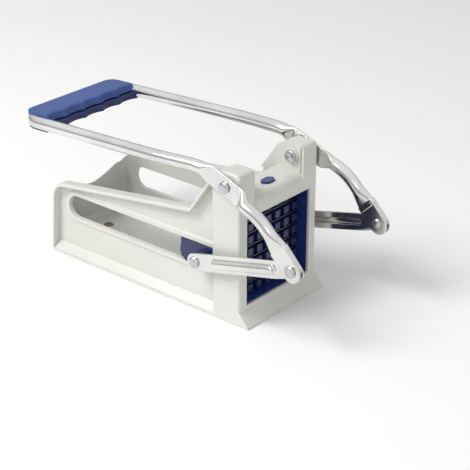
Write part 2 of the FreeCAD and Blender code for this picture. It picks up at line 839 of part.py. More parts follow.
def make_rivet(name, side, shank, head, inner, outer, x, z):
    """A rivet along Y: shank between two distances, a dome outside and a flat button inside."""
    body = new_body(name)
    corners = [
        ("0", f"{inner} - 1.1"), (f"{head} / 2 - 1", f"{inner} - 1.1"), (f"{head} / 2 - 0.4", inner),
        (f"{shank} / 2", inner), (f"{shank} / 2", outer), (f"{head} / 2", outer),
        (f"{head} / 2 - 0.5", f"{outer} + pin_dome * 0.6"), (f"{head} / 4", f"{outer} + pin_dome"),
        ("0", f"{outer} + pin_dome * 1.1"),
    ]
    turned(body, "rivet", "XY_Plane", "V_Axis",
           lambda sketch: draw_polygon(sketch, [(x_, f"{side} * ({y_})") for x_, y_ in corners]))
    move(body, x, z)
    return body


LINK_RUN = "sqrt((front_pivot_x + rear_pivot_x)^2 + (front_pivot_z - slot_centre)^2)"
LINK_TURN = "-asin((front_pivot_z - slot_centre) / " + LINK_RUN + ")"


def make_link(side_name, side):
    """A flat strap with a half-round bead pressed outwards, drawn from the front pivot backwards."""
    body = new_body(f"link_{side_name}")
    inner = "arm_half - link_thick / 2"
    outer = "arm_half + link_thick / 2"
    low, high = lateral(side, inner, outer)
    width = "link_width / 2"
    nose = "link_nose / 2"
    strap = [
        (f"-({LINK_RUN})", f"-{width}"), ("-bead_front", f"-{width}"), ("0", f"-{nose}"),
        ("0", nose), ("-bead_front", width), (f"-({LINK_RUN})", width),
    ]
    pad_across(body, "strap", low, high, lambda sketch: draw_polygon(sketch, strap))
    pad_across(body, "nose", low, high, lambda sketch: draw_circle(sketch, ("0", "0"), nose))
    pad_across(body, "tail", low, high,
               lambda sketch: draw_circle(sketch, (f"-({LINK_RUN})", "0"), width))
    bead_low, bead_high = f"bead_rear - ({LINK_RUN})", "-bead_front - 2"
    face = f"{side} * ({outer} - 0.2)"
    shell = f"{side} * ({inner})"

    def arch(name, kind, centre_y, radius, start, stop):
        sketch = new_sketch(body, f"{name}_outline", "YZ_Plane", start)
        draw_circle(sketch, (centre_y, "0"), radius)
        return add_feature(body, kind, name, sketch, f"({stop}) - ({start})", reverse=kind == "Pocket")

    arch("bead", "Pad", face, "bead / 2 - 0.6", bead_low, bead_high)
    trim = new_sketch(body, "inner_trim_outline", "XZ_Plane",
                      f"-({lateral(side, 'arm_half - link_width', inner)[1]})")
    draw_box(trim, (f"-({LINK_RUN}) - link_width", "-link_width"), ("link_width", "link_width"))
    add_feature(body, "Pocket", "inner_trim", trim, f"link_width - link_thick / 2", reverse=True)
    arch("bead_hollow", "Pocket", shell, "bead / 2 - bead_wall", f"{bead_low} + bead_wall",
         f"{bead_high} - bead_wall")
    for name, spot, size in (("front_hole", "0", "rivet / 2 + run_clear"),
                             ("rear_hole", f"-({LINK_RUN})", "(rivet + rivet_play) / 2")):
        cut_across(body, name, f"{low} - 1", f"{high} + 1",
                   lambda sketch: draw_circle(sketch, (spot, "0"), size))
    body.Placement = FreeCAD.Placement(
        Vector(value("front_x + front_pivot_x"), 0, value("front_pivot_z")),
        FreeCAD.Rotation(Vector(0, 1, 0), value(LINK_TURN)))
    bind(body, "Placement.Base.x", "front_x + front_pivot_x")
    bind(body, "Placement.Base.z", "front_pivot_z")
    bind(body, "Placement.Rotation.Angle", LINK_TURN)
    return body


def make_runner(side_name, side):
    """The shoe that slides in a slot, with the spacer boss that meets the link."""
    body = new_body(f"runner_{side_name}")
    low, high = lateral(side, "trough_half - carriage_clear", "runner_out")
    half = "(slot_height / 2 - runner_clear)"
    rear = f"-(rear_pivot_x + runner_rear) + {half}"
    middle = "slot_centre"

    pad_across(body, "shoe", low, high, lambda sketch: draw_box(
        sketch, (rear, f"{middle} - {half}"), ("-slot_front - runner_clear", f"{middle} + {half}")))
    pad_across(body, "heel", low, high, lambda sketch: draw_circle(sketch, (rear, middle), half))
    boss_low, boss_high = lateral(side, "runner_out - 0.5", "arm_half - link_thick / 2 - 1.5")
    pad_across(body, "boss", boss_low, boss_high,
               lambda sketch: draw_circle(sketch, ("-rear_pivot_x", middle), "boss_small / 2"))
    return body


def make_carriage():
    """The channel behind the pusher plate that ties both runners to it."""
    body = new_body("pusher_carriage")
    back = "-(pusher_face + pusher_thick + carriage_length)"
    front = "-(pusher_face + pusher_thick)"
    inner = "trough_half - carriage_clear - carriage_wall"
    outer = "trough_half - carriage_clear"
    pad_across(body, "channel", f"-({outer})", outer, lambda sketch: draw_box(
        sketch, (back, "carriage_low"), (front, "carriage_high")))
    cut_across(body, "inside_cut", f"-({inner})", inner, lambda sketch: draw_box(
        sketch, (f"{back} - 1", "carriage_low + carriage_wall"),
        (f"{front} - carriage_wall", "carriage_high + 1")))
    return body


def make_pusher_plate():
    """The plate that fills the trough, with a square stud for every cell of the cutting grid."""
    body = new_body("pusher_plate")
    half = "window_width / 2 - pusher_clear"
    low = "window_bottom + pusher_clear"
    high = "window_bottom + window_height - pusher_clear"
    pad_along(body, "plate", "-(pusher_face + pusher_thick)", "-pusher_face",
              lambda sketch: draw_box(sketch, (f"-({half})", low), (half, high)))
    pitch_y = "window_width / cell_count"
    pitch_z = "window_height / cell_count"
    left = f"-window_width / 2 + {pitch_y} / 2"
    bottom = f"window_bottom + {pitch_z} / 2"
    stud = pad_along(body, "stud", "-pusher_face - 0.5", "stud_length - pusher_face",
                     lambda sketch: draw_box(sketch, (f"{left} - stud / 2", f"{bottom} - stud / 2"),
                                             (f"{left} + stud / 2", f"{bottom} + stud / 2")))
    doc.recompute()
    grid = body.newObject("PartDesign::MultiTransform", "stud_grid")
    grid.Originals = [stud]
    rows = []
    for axis, run in (("H_Axis", "window_width"), ("V_Axis", "window_height")):
        row = body.newObject("PartDesign::LinearPattern", f"row_{axis[0]}")
        row.Direction = (stud.Profile[0], [axis])
        bind(row, "Length", f"{run} - {run} / cell_count")
        bind(row, "Occurrences", "cell_count")
        rows.append(row)
    grid.Transformations = rows
    body.Tip = grid
    return body


def make_cassette_frame():
    """The rim that holds the blades: two feet below, a notch and a push tab above."""
    body = new_body("cassette_frame")
    back = "-(cassette_front + cassette_depth)"
    front = "-cassette_front"
    low = "window_bottom - cassette_rail"
    high = "window_bottom + window_height + cassette_rail"
    chamfer = "cassette_round"
    side = "cassette_half"
    outline = [
        (f"-{side}", low), ("-foot_notch / 2", low), ("-foot_notch / 2 + foot_rise", f"{low} + foot_rise"),
        ("foot_notch / 2 - foot_rise", f"{low} + foot_rise"), ("foot_notch / 2", low), (side, low),
        (side, f"{high} - {chamfer}"), (f"{side} - {chamfer}", high), ("notch_width / 2 + notch_depth", high),
        ("notch_width / 2", f"{high} - notch_depth"), ("-notch_width / 2", f"{high} - notch_depth"),
        ("-notch_width / 2 - notch_depth", high), (f"{chamfer} - {side}", high),
        (f"-{side}", f"{high} - {chamfer}"),
    ]
    half = "window_width / 2"

    def draw(sketch):
        draw_polygon(sketch, outline)
        draw_box(sketch, (f"-{half}", "window_bottom"), (half, "window_bottom + window_height"))

    pad_along(body, "rim", back, front, draw)
    middle = "-(cassette_front + cassette_depth / 2)"
    near, far = f"{middle} + tab_depth / 2", f"{middle} - tab_depth / 2"
    shoulder = "(tab_width / 2 - tab_point)"
    hexagon = [
        (near, f"-{shoulder}"), (near, shoulder), (middle, "tab_width / 2"),
        (far, shoulder), (far, f"-{shoulder}"), (middle, "-tab_width / 2"),
    ]
    sketch = new_sketch(body, "tab_outline", "XY_Plane", f"{high} - notch_depth - 1")
    draw_polygon(sketch, hexagon)
    add_feature(body, "Pad", "tab", sketch, f"tab_top - ({high} - notch_depth - 1)")
    return body


def make_blades(name, across, front):
    """One layer of parallel blades, let into the cassette rim at both ends."""
    body = new_body(name)
    half = "window_width / 2"
    low, high = "window_bottom", "window_bottom + window_height"
    run = "window_width" if across else "window_height"
    if across:
        first = f"-{half} + window_width / cell_count"
        corners = ((f"{first} - blade / 2", f"{low} - blade_seat"),
                   (f"{first} + blade / 2", f"{high} + blade_seat"))
    else:
        first = "window_bottom + window_height / cell_count"
        corners = ((f"-{half} - blade_seat", f"{first} - blade / 2"),
                   (f"{half} + blade_seat", f"{first} + blade / 2"))
    strip = pad_along(body, "strip", f"-({front}) - blade_depth", f"-({front})",
                      lambda sketch: draw_box(sketch, *corners))
    doc.recompute()
    row = body.newObject("PartDesign::LinearPattern", "strips")
    row.Originals = [strip]
    row.Direction = (strip.Profile[0], ["H_Axis" if across else "V_Axis"])
    bind(row, "Length", f"{run} - 2 * {run} / cell_count")
    bind(row, "Occurrences", "cell_count - 1")
    body.Tip = row
    return body


def grip_place(shape):
    """Tilt a grip shell with the lever's legs about the crossbar."""
    rise = value("knee_z") - value("bar_z")
    run = value("bar_x") - value("knee_x")
    tilt = -math.degrees(math.atan2(rise, run))
    shape.rotate(Vector(-value("bar_x"), 0, value("bar_z")), Vector(0, 1, 0), tilt)
    return shape


def plan_round(half, radius):
    """The grip's rounded outline seen from above, tall enough to trim either shell."""
    back, front = -value("grip_back"), -value("grip_front") + 1
    low = value("bar_z") - 2 * value("tube")
    corners = [(back, -half, radius), (front, -half, 0), (front, half, 0), (back, half, radius)]
    wire = rounded_wire(corners, lambda u, v: Vector(u, v, low))
    return Part.Face(wire).extrude(Vector(0, 0, 4 * value("tube")))


def finger_cuts():
    """Rounded hollows along the front of the grip, one for each finger."""
    count = int(value("fingers"))
    half = value("grip_top_half")
    pitch = 2 * half / count
    radius = value("finger_radius")
    middle_z = value("bar_z")
    foot = Vector(-value("grip_front"), 0, middle_z - value("grip_down"))
    crest = Vector(-value("grip_top_front"), 0, middle_z + value("grip_up"))
    along = (crest - foot).normalize()
    outward = Vector(along.z, 0, -along.x)
    spare = value("grip_down")
    cuts = []
    for index in range(count):
        y = -half + pitch * (index + 1 / 2)
        start = foot - along * spare + outward * (radius - value("finger_depth")) + Vector(0, y, 0)
        cuts.append(Part.makeCylinder(radius, (crest - foot).Length + 2 * spare, start, along))
    return cuts


def grip_screw_places():
    """The grip's two screws stand between the crossbar and the finger side."""
    x = -(value("grip_top_front") + value("bar_x")) / 2 + value("tube") / 4
    return [(x, side * value("grip_top_half") * value("screw_spread")) for side in (1, -1)]


def make_grip():
    """Two shells clamp the crossbar: a narrow one above and a wider one that cups the tube below."""
    back = -value("grip_back")
    middle = value("bar_z")
    up, down = value("grip_up"), value("grip_down")
    front = -value("grip_front")
    crest = -value("grip_top_front")
    slope = (front - crest) / (up + down)
    join = crest + slope * up
    clearance = value("run_clear")
    front_round, back_round = value("grip_front_round"), value("grip_back_round")
    upper = side_solid([(back, middle + clearance, 0), (join, middle + clearance, 0),
                        (crest, middle + up, front_round), (back, middle + up, back_round)],
                       -value("grip_top_half"), value("grip_top_half"))
    lower = side_solid([(back, middle - clearance, 0), (back, middle - down, back_round),
                        (front, middle - down, front_round),
                        (join, middle - clearance, 0)],
                       -value("grip_low_half"), value("grip_low_half"))
    upper = upper.common(plan_round(value("grip_top_half"), value("grip_corner")))
    lower = lower.common(plan_round(value("grip_low_half"), value("grip_corner") * 2))
    for cut in finger_cuts():
        upper = upper.cut(cut)
        lower = lower.cut(cut)
    upper, lower = grip_place(upper), grip_place(lower)
    channel = grip_channel(clearance)
    upper = upper.cut(channel)
    lower = lower.cut(channel)
    screws = []
    bottom = middle - down
    length = up + down - value("grip_back_round")
    recess = value("screw_sink")
    head = value("screw_head_height")
    for x, y in grip_screw_places():
        foot = Vector(x, y, bottom)
        hole = grip_place(Part.makeCylinder(value("screw") / 2 + clearance, length + clearance, foot))
        wide = value("screw_head") / 2 + clearance
        seat = grip_place(Part.makeCylinder(wide, recess + head + clearance, foot))
        lower = lower.cut(hole).cut(seat)
        upper = upper.cut(hole)
        raised = foot + Vector(0, 0, recess)
        shank = Part.makeCylinder(value("screw") / 2, length - recess, raised)
        screws.append(grip_place(shank.fuse(Part.makeCylinder(value("screw_head") / 2, head, raised))))
    solid_feature("grip_upper_shell", upper)
    solid_feature("grip_lower_shell", lower)
    solid_feature("grip_screws", Part.makeCompound(screws))


def build():
    fill_sheet()
    make_body_moulding()
    make_suction_cup("suction_cup_rear", "cup_rear")
    make_suction_cup("suction_cup_front", "cup_front")
    make_lever_tube()
    make_grip()
    for side_name, side in SIDES:
        make_pivot_pin(side_name, side)
        make_ring(f"pivot_washer_{side_name}", side, "pin / 2 + run_clear", "washer / 2",
                  "body_half + run_clear", "plate_half - plate_thick / 2 - gap", "-pivot_x", "pivot_z")
        make_link(side_name, side)
        make_rivet(f"front_rivet_{side_name}", side, "(rivet - rivet_play)", "pin_head",
                   "arm_half - clevis_thick / 2 - 0.1", "arm_half + clevis_thick / 2 + 0.1",
                   "front_pivot_x", "front_pivot_z")
        make_rivet(f"rear_rivet_{side_name}", side, "rivet", "pin_head",
                   "arm_half - link_thick / 2 - 0.05", "arm_half + link_thick / 2 + 0.05",
                   "-rear_pivot_x", "slot_centre")
        make_runner(side_name, side)
    make_carriage()
    make_pusher_plate()
    make_cassette_frame()
    make_blades("horizontal_blades", False, "blade_front")
    make_blades("vertical_blades", True, "blade_front + blade_depth + 0.1")
    doc.recompute()


def sub_parts():
    """The labelled solids that become files."""
    kinds = ("PartDesign::Body", "Part::Feature")
    return [item for item in doc.Objects if item.TypeId in kinds]


def check_and_write():
    """Stop on any failed object or bad solid, then write one file for each sub-part."""
    for item in doc.Objects:
        if "Invalid" in item.State or "Error" in item.State:
            raise RuntimeError(f"{item.Label} failed to build")
    for item in sub_parts():
        if item.Shape.isNull() or not item.Shape.isValid() or not item.Shape.Solids:
            raise RuntimeError(f"{item.Label} has no valid solid")
    os.makedirs("parts", exist_ok=True)
    for item in sub_parts():
        item.Shape.exportStep(f"parts/{item.Label}.step")


build()
check_and_write()
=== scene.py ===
"""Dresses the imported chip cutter: smooth visual pieces, procedural materials, studio and camera.

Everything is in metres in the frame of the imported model: +X out of the cutting window, +Y to the
cutter's left, +Z up from the table.
"""
import json
import math

import bmesh
import bpy
import numpy as np
from mathutils import Matrix, Vector


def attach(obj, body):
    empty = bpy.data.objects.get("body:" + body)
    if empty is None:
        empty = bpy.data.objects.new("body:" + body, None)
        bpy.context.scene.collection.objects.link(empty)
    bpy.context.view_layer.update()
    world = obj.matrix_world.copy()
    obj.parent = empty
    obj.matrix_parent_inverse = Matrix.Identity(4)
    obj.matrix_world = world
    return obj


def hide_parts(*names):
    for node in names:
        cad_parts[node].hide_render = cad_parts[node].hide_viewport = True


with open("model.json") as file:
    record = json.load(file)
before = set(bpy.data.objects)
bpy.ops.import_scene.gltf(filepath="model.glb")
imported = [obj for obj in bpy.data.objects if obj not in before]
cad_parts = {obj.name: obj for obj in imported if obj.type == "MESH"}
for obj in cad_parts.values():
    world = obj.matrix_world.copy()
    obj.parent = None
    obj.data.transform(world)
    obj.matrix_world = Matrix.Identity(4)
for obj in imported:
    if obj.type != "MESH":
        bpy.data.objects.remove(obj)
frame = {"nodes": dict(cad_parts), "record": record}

bl_info = {
    "name": "Chip cutter dresser",
    "version": (1, 0, 0),
    "blender": (4, 5, 0),
    "location": "View3D > Sidebar > Chip cutter",
    "description": "Builds the visual pieces and materials of a lever chip cutter",
    "category": "Object",
}

SIDES = (("left", 1.0), ("right", -1.0))
TINY = 1e-9

# Lever: step along its path, and half the length over which it turns at the elbow and the knee.
PATH_STEP = 0.0005
ELBOW_SPREAD = 0.012
KNEE_SPREAD = 0.010
ELBOW_TO_FLAT = 0.021
FOLD_LIP = 0.0013
SHARP_EDGE = 12.0
# Links: how much the bead's ends are drawn in, the sheet under it and the squareness of the edge.
BEAD_DRAW = 1.7
BEAD_INSET = 3.4
BEAD_SHEET = 0.0012
LINK_COLUMNS = 176
LINK_ROWS = 260
# Grip: powers of its section and of its ends, and how far the ends draw in.
GRIP_ROWS, GRIP_COLUMNS = 140, 64
SECTION_POWER = 0.28
END_POWER = 14
END_INSET = 0.004
FINGER_POWER = 0.8
SHELL_GAP = 0.0001
# Pins and rivets: the inner head's first face and edge, the ear's inner face, shanks and gaps.
PIN_START = 0.0244
PIN_EDGE = 0.0004
EAR_FACE = 0.02595
PIN_RADIUS = 0.003
RIVET_RADIUS = 0.00245
RIVET_BACK = 0.001
PLATE_GAP = 0.0003
FORK_GAP = 0.0001
STRAP_GAP = 0.00005
# Studio: half size and drop of the floor, and the world's even light.
FLOOR_HALF = 6.0
FLOOR_DROP = 0.0002
AMBIENT = 0.5


def length(name, size, text):
    """A metre-valued property with its own tooltip."""
    return bpy.props.FloatProperty(name=name, description=text, default=size, unit="LENGTH",
                                   subtype="DISTANCE", precision=5)


class CutterLever(bpy.types.PropertyGroup):
    """Sizes of the U-shaped lever and its two forked ends."""
    tube: length("Tube", 0.0096, "Outside width of the round tube")
    bar_x: length("Crossbar X", -0.13495, "Place of the crossbar along the cutter")
    bar_z: length("Crossbar Z", 0.1095, "Height of the crossbar's middle")
    bar_bend: length("Crossbar bend", 0.016, "Bend radius at each end of the crossbar")
    leg_y: length("Leg offset", 0.050, "Distance of each leg from the middle plane")
    knee_x: length("Knee X", 0.04405, "Where the leg meets the flat pivot length")
    knee_z: length("Knee Z", 0.118, "Height of the knee")
    elbow_x: length("Elbow X", 0.10205, "Where the lever turns down beside the window")
    elbow_z: length("Elbow Z", 0.095, "Height of the elbow")
    tip_x: length("Tip X", 0.13045, "Front pivot along the cutter")
    tip_z: length("Tip Z", 0.0653, "Front pivot height")
    arm_y: length("Arm offset", 0.0508, "Distance of each forked end from the middle plane")
    plate_y: length("Plate offset", 0.047, "Distance of the flat pivot length from the middle plane")
    plate_wide: length("Plate width", 0.015, "Width of the lever where it is pressed flat")
    plate_thick: length("Plate thickness", 0.0028, "Thickness where it is pressed flat")
    fork_thick: length("Fork thickness", 0.0048, "Overall thickness of the forked end")
    fork_gap: length("Fork gap", 0.0027, "Gap that takes the link")
    fork_end: length("Fork end", 0.0086, "Reach of the fork past its pivot")
    fork_reach: length("Fork reach", 0.0145, "Depth of the gap above the pivot")


class CutterLink(bpy.types.PropertyGroup):
    """Sizes of the two side links."""
    rear_x: length("Rear pivot X", 0.04145, "Rear pivot along the cutter")
    rear_z: length("Rear pivot Z", 0.0432, "Rear pivot height")
    wide: length("Width", 0.0136, "Width of the strap")
    nose: length("Nose", 0.0114, "Width of the front end inside the fork")
    thick: length("Thickness", 0.0018, "Thickness of the sheet")
    bead: length("Bead", 0.0076, "Width of the pressed half-round bead")
    bead_rear: length("Bead rear", 0.0183, "From the rear pivot to the bead")
    bead_front: length("Bead front", 0.0153, "From the front pivot to the bead")


class CutterGrip(bpy.types.PropertyGroup):
    """Sizes of the two-shell grip."""
    back: length("Back", -0.13845, "Back of the grip along the cutter")
    top_front: length("Top front", -0.11195, "Front edge of the upper face")
    low_front: length("Low front", -0.10845, "Front edge of the lower face")
    up: length("Up", 0.0068, "Height above the crossbar's middle")
    down: length("Down", 0.0062, "Depth below the crossbar's middle")
    top_half: length("Upper half width", 0.0475, "Half width of the upper shell")
    corner: length("Corner", 0.007, "Plan radius of the two back corners")
    low_half: length("Lower half width", 0.051, "Half width of the lower shell")
    finger_depth: length("Finger depth", 0.0026, "Depth of each finger hollow")
    fingers: bpy.props.IntProperty(name="Fingers", description="Number of finger hollows", default=5)


class CutterPins(bpy.types.PropertyGroup):
    """Sizes of the pivot pins, rivets and washers."""
    pivot_x: length("Pivot X", 0.06755, "Lever pivot along the cutter")
    pivot_z: length("Pivot Z", 0.1087, "Lever pivot height")
    head: length("Head", 0.0088, "Width of a domed head")
    dome: length("Dome", 0.0024, "Height of a domed head")
    inner_head: length("Inner head", 0.0094, "Width of the pin's head inside the ear")


class CutterStage(bpy.types.PropertyGroup):
    """Camera, floor and lamps."""
    azimuth: bpy.props.FloatProperty(name="Azimuth", description="Camera turn about the upright",
                                     default=math.radians(41.81), subtype="ANGLE")
    elevation: bpy.props.FloatProperty(name="Elevation", description="Camera height angle",
                                       default=math.radians(25.36), subtype="ANGLE")
    roll: bpy.props.FloatProperty(name="Roll", description="Camera turn about its own line of sight",
                                  default=math.radians(-0.53), subtype="ANGLE")
    distance: length("Distance", 1.13543, "Camera distance from the point it looks at")
    aim_x: length("Aim X", -0.00195, "Place along the cutter of the point it looks at")
    aim_z: length("Aim height", 0.040, "Height of the point it looks at")
    lens: bpy.props.FloatProperty(name="Lens", description="Focal length in millimetres", default=113.48)
    shift_x: bpy.props.FloatProperty(name="Shift X", description="Framing to the side", default=0.0813)
    shift_y: bpy.props.FloatProperty(name="Shift Y", description="Framing up and down", default=-0.0184)


def new_piece(name, points, faces, smooth=True):
    """A mesh object from an array of points and a list of face index rows."""
    mesh = bpy.data.meshes.new(name)
    mesh.from_pydata(points.tolist(), [], [list(map(int, face)) for face in faces])
    mesh.update()
    mesh.polygons.foreach_set("use_smooth", np.full(len(mesh.polygons), smooth))
    piece = bpy.data.objects.new(name, mesh)
    bpy.context.collection.objects.link(piece)
    return piece


def tube_faces(rows, columns, start=0):
    """Quads between neighbouring closed rings, with a fan of one polygon at each end."""
    ring = np.arange(columns)
    after = np.roll(ring, -1)
    base = start + columns * np.arange(rows - 1)[:, None]
    quads = np.stack([base + ring, base + after, base + columns + after, base + columns + ring], axis=-1)
    faces = quads.reshape(-1, 4).tolist()
    faces.append((start + ring[::-1]).tolist())
    faces.append((start + columns * (rows - 1) + ring).tolist())
    return faces


def tidy_normals(piece):
    """Weld doubled points and turn every face outwards."""
    work = bmesh.new()
    work.from_mesh(piece.data)
    bmesh.ops.remove_doubles(work, verts=work.verts, dist=1e-6)
    bmesh.ops.dissolve_degenerate(work, edges=work.edges, dist=1e-7)
    bmesh.ops.recalc_face_normals(work, faces=work.faces)
    work.to_mesh(piece.data)
    work.free()
    piece.data.polygons.foreach_set("use_smooth", np.ones(len(piece.data.polygons), dtype=bool))
    return piece


def join_arrays(parts):
    """Several (points, faces) pairs as one."""
    points, faces, offset = [], [], 0
    for spots, shapes in parts:
        points.append(spots)
        faces += [[index + offset for index in face] for face in shapes]
        offset += len(spots)
    return np.concatenate(points), faces


def unit(vectors):
    """Rows scaled to length one."""
    return vectors / np.maximum(np.linalg.norm(vectors, axis=-1, keepdims=True), TINY)


def smoothstep(low, high, values):
    """3t^2 - 2t^3 with t running from 0 at low to 1 at high."""
    share = np.clip((values - low) / (high - low), 0.0, 1.0)
    return share * share * (3.0 - 2.0 * share)


def power(values, exponent):
    """sign(v) * |v|^exponent, the superellipse's signed power."""
    return np.sign(values) * np.abs(values) ** exponent


def sweep(centres, ups, wides, thicks, squares, columns=40):
    """Closed skin round a path.

    p(s, a) = c(s) + up(s) w(s)/2 sgn(cos a)|cos a|^(2/q) + side(s) t(s)/2 sgn(sin a)|sin a|^(2/q),
    where side is tangent x up and q is the squareness.
    """
    tangents = unit(np.gradient(centres, axis=0))
    sides = unit(np.cross(tangents, ups))
    angle = 2 * np.pi * np.arange(columns) / columns
    share = (2.0 / squares)[:, None]
    across = power(np.cos(angle)[None, :], share) * wides[:, None] / 2
    through = power(np.sin(angle)[None, :], share) * thicks[:, None] / 2
    points = centres[:, None] + ups[:, None] * across[..., None] + sides[:, None] * through[..., None]
    return points.reshape(-1, 3), tube_faces(len(centres), columns)


def lathe(profile, origin, side, columns=48):
    """Revolve (radius, y) pairs about the line through origin along Y."""
    profile = np.asarray(profile, dtype=float)
    angle = 2 * np.pi * np.arange(columns) / columns
    radius, along = profile[:, :1], profile[:, 1:]
    x = origin[0] + radius * np.cos(angle)
    z = origin[1] + radius * np.sin(angle)
    y = side * along + 0 * angle
    return np.stack([x, y, z], axis=-1).reshape(-1, 3), tube_faces(len(profile), columns)


def dome_profile(radius, start, height, steps=10):
    """A flattened dome above a short straight rim.

    r = R cos(b)^0.8 and y = start + e + (h - e) sin b, where e is the rim's height.
    """
    rim = height * 0.3
    bend = np.linspace(0, np.pi / 2, steps)
    curve = np.stack([radius * np.cos(bend) ** 0.8, start + rim + (height - rim) * np.sin(bend)], axis=1)
    return np.concatenate([[[radius, start]], curve])


def lever_path(s):
    """The left half's centre line at arc length s from the front pivot, before its end bends.

    The heading turns by smoothstep at the elbow and at the knee, and the place is its running sum.
    """
    tip = np.array([s.tip_x, s.tip_z])
    elbow = np.array([s.elbow_x, s.elbow_z])
    knee = np.array([s.knee_x, s.knee_z])
    bar = np.array([s.bar_x, s.bar_z])
    runs = [elbow - tip, knee - elbow, bar - knee]
    lengths = [np.hypot(*run) for run in runs]
    heads = np.unwrap([math.atan2(run[1], run[0]) for run in runs])
    total = sum(lengths) - s.bar_bend
    along = np.arange(-s.fork_end, total + PATH_STEP, PATH_STEP)
    elbow_at, knee_at = lengths[0], lengths[0] + lengths[1]
    head = heads[0] + (heads[1] - heads[0]) * smoothstep(elbow_at - ELBOW_SPREAD,
                                                              elbow_at + ELBOW_SPREAD, along)
    head = head + (heads[2] - heads[1]) * smoothstep(knee_at - KNEE_SPREAD,
                                                           knee_at + KNEE_SPREAD, along)
    steps = np.stack([np.cos(head), np.sin(head)], axis=1) * PATH_STEP
    spots = np.cumsum(steps, axis=0)
    zero = np.argmin(np.abs(along))
    spots = spots - spots[zero] + tip
    drift = (knee + (bar - knee) * (1 - s.bar_bend / lengths[2])) - spots[-1]
    spots = spots + drift * smoothstep(elbow_at - 0.02, knee_at + 0.02, along)[:, None]
    return along, spots, head, elbow_at, knee_at


def lever_arrays(s):
    """The tube from one fork to the other: round legs, flat pivot lengths, flattened fork roots."""
    along, spots, head, elbow_at, knee_at = lever_path(s)
    flat_from, flat_to = elbow_at + ELBOW_TO_FLAT, knee_at - KNEE_SPREAD
    into_plate = smoothstep(flat_from - 0.006, flat_from + 0.002, along)
    out_plate = smoothstep(flat_to - 0.001, flat_to + 0.010, along)
    plate = into_plate * (1 - out_plate)
    fork = 1 - smoothstep(s.fork_reach - 0.001, elbow_at - 0.009, along)
    side_y = s.arm_y + (s.plate_y - s.arm_y) * smoothstep(flat_from - 0.008, flat_from + 0.004, along)
    side_y = side_y + (s.leg_y - s.plate_y) * smoothstep(flat_to - 0.002, flat_to + 0.060, along)
    wide = s.tube + (s.plate_wide - s.tube) * np.maximum(plate, fork)
    thick = s.tube + (s.plate_thick - s.tube) * plate + (s.fork_thick - s.tube) * fork
    square = 2 + 4 * plate ** 2 + 4 * fork ** 2
    keep = along >= s.fork_reach - 0.002
    centre = np.stack([spots[:, 0], side_y, spots[:, 1]], axis=1)[keep]
    up = np.stack([np.sin(head), np.zeros_like(head), -np.cos(head)], axis=1)[keep]
    up = up * np.sign(up[:, 2:])
    wide, thick, square = wide[keep], thick[keep], square[keep]
    leg = unit(np.array([s.bar_x - s.knee_x, 0, s.bar_z - s.knee_z]))
    bend = np.linspace(0, np.pi / 2, 25)[1:]
    start = centre[-1]
    curve = start + leg * (s.bar_bend * np.sin(bend))[:, None]
    curve[:, 1] -= s.bar_bend * (1 - np.cos(bend))
    bar = curve[-1] * np.linspace([1, 1, 1], [1, 0, 1], 8)[1:]
    added = len(curve) + len(bar)
    centre = np.concatenate([centre, curve, bar])
    up = np.concatenate([up, np.repeat(up[-1:], added, axis=0)])
    wide = np.concatenate([wide, np.full(added, s.tube)])
    thick = np.concatenate([thick, np.full(added, s.tube)])
    square = np.concatenate([square, np.full(added, 2.0)])
    flip = np.array([1, -1, 1])
    centre = np.concatenate([centre, (centre * flip)[-2::-1]])
    up = np.concatenate([up, (up * flip)[-2::-1]])
    wide, thick, square = (np.concatenate([row, row[-2::-1]]) for row in (wide, thick, square))
    return sweep(centre, up, wide, thick, square)


def fork_arrays(s, side):
    """Two cheeks and the folded edge between them, all swept straight along the arm."""
    tip = np.array([s.tip_x, side * s.arm_y, s.tip_z])
    way = unit(np.array([s.elbow_x - s.tip_x, 0, s.elbow_z - s.tip_z]))
    up = np.array([way[2], 0, -way[0]])
    up = up * np.sign(up[2])
    wall = (s.fork_thick - s.fork_gap) / 2
    radius = s.plate_wide / 2
    shift = s.fork_end - radius
    run = -shift - radius * np.cos(np.linspace(0, np.pi / 2, 14))
    run = np.concatenate([run, np.linspace(-shift, s.fork_reach + 0.003, 14)[1:]])
    round_off = np.sqrt(np.clip(1 - (np.minimum(run + shift, 0) / radius) ** 2, 1e-4, 1))
    parts = []
    for step in (-1, 1):
        centre = tip + way * run[:, None] + np.array([0, step * (s.fork_gap + wall) / 2, 0])
        ups = np.repeat(up[None], len(run), axis=0)
        parts.append(sweep(centre, ups, s.plate_wide * round_off, np.full(len(run), wall),
                           np.full(len(run), SHARP_EDGE)))
    long_run = np.linspace(-0.004, s.fork_reach + 0.003, 12)
    centre = tip + way * long_run[:, None] + up * (radius - FOLD_LIP / 2)
    ups = np.repeat(up[None], len(long_run), axis=0)
    parts.append(sweep(centre, ups, np.full(len(long_run), FOLD_LIP),
                       np.full(len(long_run), s.fork_thick), np.full(len(long_run), 3.0)))
    return join_arrays(parts)


